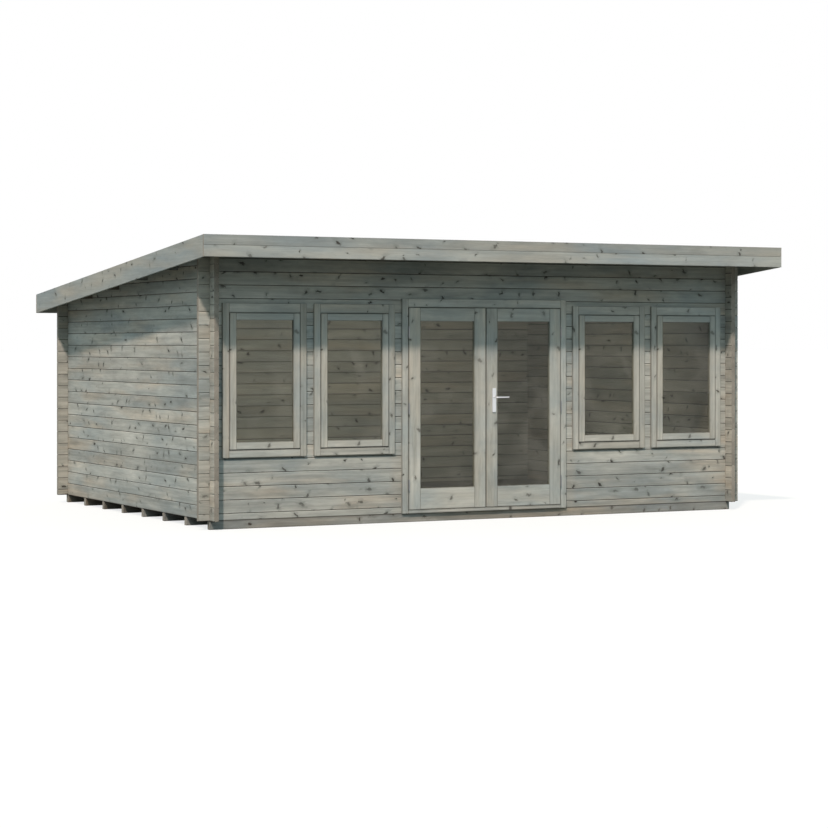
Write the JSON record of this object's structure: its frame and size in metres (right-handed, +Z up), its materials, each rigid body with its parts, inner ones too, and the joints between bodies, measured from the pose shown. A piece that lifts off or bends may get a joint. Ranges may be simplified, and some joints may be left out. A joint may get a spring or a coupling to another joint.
{
  "type": "garden cabin",
  "caption": "Log-built garden cabin with a single-pitch roof, glazed double doors opening outwards and tall windows beside them.",
  "frame": {"origin": "on the ground, under the middle of the roof's outline", "axes": "+X to the right along the front, +Y to the back, +Z up; the doors are in the -Y face"},
  "size_m": [5.8, 4.49, 2.472],
  "materials": {
    "log_timber": "planed pine, weathered grey with a blue-green cast",
    "joinery_timber": "planed pine joinery, weathered grey",
    "fascia_timber": "planed pine board, weathered grey",
    "sawn_timber": "planed pine, duller and browner where sheltered",
    "pane": "clear float glass",
    "handle_metal": "satin",
    "zinc_steel": "dull zinc plate",
    "roofing_felt": "mineral-faced roofing felt"
  },
  "bodies": {
    "cabin": {"door_head": "joinery_timber", "door_jambs": "joinery_timber", "door_threshold": "joinery_timber", "floor_bearers": "sawn_timber", "floor_boards": "sawn_timber", "frame_hinges": "zinc_steel", "front_fascia": "fascia_timber", "front_wall_even_logs": "log_timber", "front_wall_odd_logs": "log_timber", "inner_casings": "joinery_timber", "left_fascia": "fascia_timber", "left_wall_even_logs": "log_timber", "left_wall_odd_logs": "log_timber", "outer_casings": "joinery_timber", "purlins": "sawn_timber", "rear_fascia": "fascia_timber", "rear_wall_even_logs": "log_timber", "rear_wall_odd_logs": "log_timber", "right_fascia": "fascia_timber", "right_wall_even_logs": "log_timber", "right_wall_odd_logs": "log_timber", "roof_boards": "sawn_timber", "roof_felt": "roofing_felt", "window_1_frame": "joinery_timber", "window_1_glass": "pane", "window_1_sash": "joinery_timber", "window_2_frame": "joinery_timber", "window_2_glass": "pane", "window_2_sash": "joinery_timber", "window_3_frame": "joinery_timber", "window_3_glass": "pane", "window_3_sash": "joinery_timber", "window_4_frame": "joinery_timber", "window_4_glass": "pane", "window_4_sash": "joinery_timber"},
    "left_leaf": {"left_door_leaf": "joinery_timber", "left_door_glass": "pane", "left_leaf_hinges": "zinc_steel"},
    "right_leaf": {"right_door_leaf": "joinery_timber", "right_door_glass": "pane", "right_leaf_hinges": "zinc_steel", "handle_plates": "handle_metal"},
    "lever": {"lever_handle": "handle_metal"}
  },
  "joints": [
    {"name": "left_door_hinge", "type": "hinge", "parent": "cabin", "child": "left_leaf", "pos_m": [-0.7765, -1.7831, 0], "axis": [0, 0, -1], "range_deg": [0, 110]},
    {"name": "right_door_hinge", "type": "hinge", "parent": "cabin", "child": "right_leaf", "pos_m": [0.7765, -1.7831, 0], "axis": [0, 0, 1], "range_deg": [0, 110]},
    {"name": "lever_spindle", "type": "hinge", "parent": "right_leaf", "child": "lever", "pos_m": [0.08, -1.7773, 1.093], "axis": [0, 1, 0], "range_deg": [0, 40], "stiffness_Nm_per_rad": 1.2, "springref_deg": -20.05}
  ]
}
